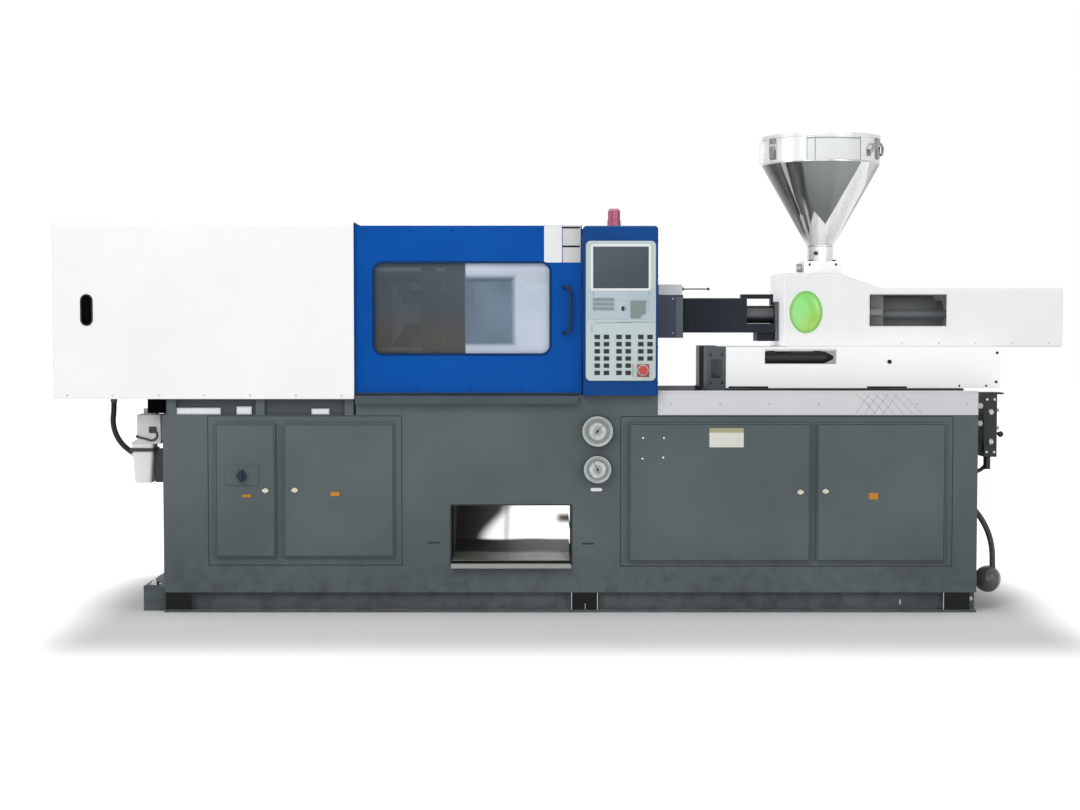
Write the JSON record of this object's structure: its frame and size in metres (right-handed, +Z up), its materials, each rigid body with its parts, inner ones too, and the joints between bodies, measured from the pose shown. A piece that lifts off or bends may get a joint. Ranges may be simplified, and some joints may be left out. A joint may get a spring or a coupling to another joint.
{
  "type": "injection moulding machine",
  "caption": "Horizontal plastics injection moulding machine with double toggle clamp, sliding mould guards, control column, injection carriage and stainless hopper.",
  "frame": {"origin": "middle of the overall length at floor level, on the centre plane of the clamp and screw", "axes": "+X along the screw from the clamp to the injection end, +Y away from the operator, +Z up"},
  "size_m": [4.605, 1.1633, 2.2103],
  "materials": {
    "white_sheet": "satin white powder coat on sheet steel",
    "door_blue": "satin blue powder coat",
    "column_blue": "satin darker blue powder coat",
    "bed_grey": "semi-gloss dark grey paint on welded steel",
    "rail_grey": "satin mid grey",
    "band_grey": "satin light grey",
    "panel_grey": "matt pale grey-green membrane panel",
    "screen_glass": "dark glossy display",
    "key_black": "matt black membrane keys",
    "window_clear": "clear polycarbonate",
    "grip_black": "moulded black grip",
    "lamp_red": "translucent red lens on a base",
    "stop_red": "glossy red",
    "platen_cast": "machined and painted casting",
    "ground_steel": "ground steel",
    "mould_steel": "milled tool steel",
    "stainless": "polished stainless sheet",
    "chute_steel": "stainless sheet",
    "dark_sheet": "satin dark grey sheet",
    "guard_grey": "satin dark grey sheet",
    "oil_black": "black painted hydraulic part",
    "hose_black": "matt rubber hose",
    "gauge_black": "black gauge case",
    "tank_plastic": "translucent oil reservoir"
  },
  "bodies": {
    "machine_base": {"bed_frame": "bed_grey", "bed_side_panel": "band_grey", "door_rails": "rail_grey", "clamp_cover": "white_sheet", "control_column": "column_blue", "panel_bezel": "panel_grey", "panel_screen": "screen_glass", "panel_keys": "key_black", "beacon": "lamp_red", "fixed_platen": "platen_cast", "tie_bars": "ground_steel", "tail_platen": "platen_cast", "clamp_cylinder": "oil_black", "mould_fixed_half": "mould_steel", "discharge_chute": "chute_steel", "pressure_gauges": "gauge_black", "lubricator_pump": "oil_black", "lubricator_reservoir": "tank_plastic", "pump_motor": "oil_black", "hydraulic_manifold": "oil_black", "filter_bowl": "oil_black", "lubricator_hose": "hose_black", "filter_hose": "hose_black"},
    "front_door": {"front_door_panel": "door_blue", "front_door_window": "window_clear", "front_door_handle": "grip_black"},
    "rear_door": {"rear_door_panel": "door_blue", "rear_door_window": "window_clear"},
    "platen": {"moving_platen": "platen_cast", "mould_moving_half": "mould_steel"},
    "ejector": {"ejector_plate": "ground_steel"},
    "crosshead_body": {"crosshead": "platen_cast"},
    "rear_upper": {"rear_link_upper": "platen_cast"},
    "rear_lower": {"rear_link_lower": "platen_cast"},
    "front_upper": {"front_link_upper": "platen_cast"},
    "front_lower": {"front_link_lower": "platen_cast"},
    "arm_upper": {"crosshead_link_upper": "platen_cast"},
    "arm_lower": {"crosshead_link_lower": "platen_cast"},
    "carriage": {"carriage_base": "white_sheet", "injection_cover": "white_sheet", "barrel": "ground_steel", "barrel_cover": "dark_sheet", "hopper_body": "stainless", "shift_cylinder": "oil_black"},
    "lid": {"hopper_lid": "stainless"},
    "gate": {"hopper_gate": "ground_steel"},
    "drive": {"injection_drive": "rail_grey"},
    "plasticising_screw": {"screw": "ground_steel"},
    "small_door": {"cabinet_door_small": "bed_grey"},
    "large_door": {"cabinet_door_large": "bed_grey"},
    "left_service_door": {"service_door_left": "bed_grey"},
    "right_service_door": {"service_door_right": "bed_grey"},
    "small_latch": {"small_door_latch": "grip_black"},
    "large_latch": {"large_door_latch": "grip_black"},
    "left_latch": {"left_service_latch": "grip_black"},
    "right_latch": {"right_service_latch": "grip_black"},
    "switch_knob": {"main_switch": "grip_black"},
    "lever": {"valve_lever": "grip_black"},
    "stop_button": {"estop_button": "stop_red"},
    "guard": {"purge_guard": "guard_grey"}
  },
  "joints": [
    {"name": "front_door_slide", "type": "slide", "parent": "machine_base", "child": "front_door", "axis": [-1, 0, 0], "range_m": [0, 0.92]},
    {"name": "rear_door_slide", "type": "slide", "parent": "machine_base", "child": "rear_door", "axis": [-1, 0, 0], "range_m": [0, 0.92]},
    {"name": "platen_slide", "type": "slide", "parent": "machine_base", "child": "platen", "axis": [1, 0, 0], "range_m": [-0.05, 0.2415]},
    {"name": "crosshead_slide", "type": "slide", "parent": "machine_base", "child": "crosshead_body", "axis": [1, 0, 0], "range_m": [-0.0297, 0.1427]},
    {"name": "rear_link_upper_turn", "type": "hinge", "parent": "machine_base", "child": "rear_upper", "pos_m": [-1.03553, 0, 1.43], "axis": [0, -1, 0], "range_deg": [-40.8, 8.6]},
    {"name": "rear_link_lower_turn", "type": "hinge", "parent": "machine_base", "child": "rear_lower", "pos_m": [-1.03553, 0, 1.27], "axis": [0, 1, 0], "range_deg": [-40.8, 8.6]},
    {"name": "front_link_upper_turn", "type": "hinge", "parent": "platen", "child": "front_upper", "pos_m": [-0.74, 0, 1.43], "axis": [0, -1, 0], "range_deg": [-8.6, 40.8]},
    {"name": "front_link_lower_turn", "type": "hinge", "parent": "platen", "child": "front_lower", "pos_m": [-0.74, 0, 1.27], "axis": [0, 1, 0], "range_deg": [-8.6, 40.8]},
    {"name": "crosshead_link_upper_turn", "type": "hinge", "parent": "crosshead_body", "child": "arm_upper", "pos_m": [-0.86641, 0, 1.375], "axis": [0, -1, 0], "range_deg": [-7.7, 36.5]},
    {"name": "crosshead_link_lower_turn", "type": "hinge", "parent": "crosshead_body", "child": "arm_lower", "pos_m": [-0.86641, 0, 1.325], "axis": [0, 1, 0], "range_deg": [-7.7, 36.5]},
    {"name": "ejector_slide", "type": "slide", "parent": "platen", "child": "ejector", "axis": [1, 0, 0], "range_m": [0, 0.03]},
    {"name": "carriage_slide", "type": "slide", "parent": "machine_base", "child": "carriage", "axis": [1, 0, 0], "range_m": [0, 0.2]},
    {"name": "injection_slide", "type": "slide", "parent": "carriage", "child": "drive", "axis": [1, 0, 0], "range_m": [0, 0.16]},
    {"name": "screw_spin", "type": "hinge", "parent": "drive", "child": "plasticising_screw", "pos_m": [1, 0, 1.35], "axis": [1, 0, 0], "continuous": true},
    {"name": "hopper_lid_hinge", "type": "hinge", "parent": "carriage", "child": "lid", "pos_m": [1.215, 0.297, 2.189], "axis": [-1, 0, 0], "range_deg": [0, 100]},
    {"name": "hopper_gate_slide", "type": "slide", "parent": "carriage", "child": "gate", "axis": [-1, 0, 0], "range_m": [0, 0.1]},
    {"name": "small_door_hinge", "type": "hinge", "parent": "machine_base", "child": "small_door", "pos_m": [-1.582, -0.5185, 0.55], "axis": [0, 0, -1], "range_deg": [0, 110]},
    {"name": "large_door_hinge", "type": "hinge", "parent": "machine_base", "child": "large_door", "pos_m": [-0.777, -0.5185, 0.55], "axis": [0, 0, 1], "range_deg": [0, 110]},
    {"name": "left_service_hinge", "type": "hinge", "parent": "machine_base", "child": "left_service_door", "pos_m": [0.281, -0.5185, 0.55], "axis": [0, 0, -1], "range_deg": [0, 110]},
    {"name": "right_service_hinge", "type": "hinge", "parent": "machine_base", "child": "right_service_door", "pos_m": [1.707, -0.5185, 0.55], "axis": [0, 0, 1], "range_deg": [0, 110]},
    {"name": "small_latch_turn", "type": "hinge", "parent": "small_door", "child": "small_latch", "pos_m": [-1.356, -0.52, 0.555], "axis": [0, -1, 0], "range_deg": [0, 90]},
    {"name": "large_latch_turn", "type": "hinge", "parent": "large_door", "child": "large_latch", "pos_m": [-1.224, -0.52, 0.557], "axis": [0, -1, 0], "range_deg": [0, 90]},
    {"name": "left_latch_turn", "type": "hinge", "parent": "left_service_door", "child": "left_latch", "pos_m": [1.053, -0.52, 0.548], "axis": [0, -1, 0], "range_deg": [0, 90]},
    {"name": "right_latch_turn", "type": "hinge", "parent": "right_service_door", "child": "right_latch", "pos_m": [1.166, -0.52, 0.552], "axis": [0, -1, 0], "range_deg": [0, 90]},
    {"name": "main_switch_turn", "type": "hinge", "parent": "small_door", "child": "switch_knob", "pos_m": [-1.46, -0.54, 0.623], "axis": [0, -1, 0], "range_deg": [0, 90]},
    {"name": "valve_lever_turn", "type": "hinge", "parent": "machine_base", "child": "lever", "pos_m": [1.95, -0.36, 0.803], "axis": [1, 0, 0], "range_deg": [0, 90]},
    {"name": "estop_press", "type": "slide", "parent": "machine_base", "child": "stop_button", "axis": [0, 1, 0], "range_m": [0, 0.004], "stiffness_N_per_m": 300},
    {"name": "purge_guard_hinge", "type": "hinge", "parent": "machine_base", "child": "guard", "pos_m": [0.43, 0.208, 1.432], "axis": [-1, 0, 0], "range_deg": [0, 80]}
  ],
  "couplings": [
    {"joint": "crosshead_slide", "follows": "platen_slide", "ratio": 0.59},
    {"joint": "rear_link_upper_turn", "follows": "platen_slide", "rad_per_m": -2.9322},
    {"joint": "rear_link_lower_turn", "follows": "platen_slide", "rad_per_m": -2.9322},
    {"joint": "front_link_upper_turn", "follows": "platen_slide", "rad_per_m": 2.9322},
    {"joint": "front_link_lower_turn", "follows": "platen_slide", "rad_per_m": 2.9322},
    {"joint": "crosshead_link_upper_turn", "follows": "platen_slide", "rad_per_m": 2.618},
    {"joint": "crosshead_link_lower_turn", "follows": "platen_slide", "rad_per_m": 2.618}
  ]
}
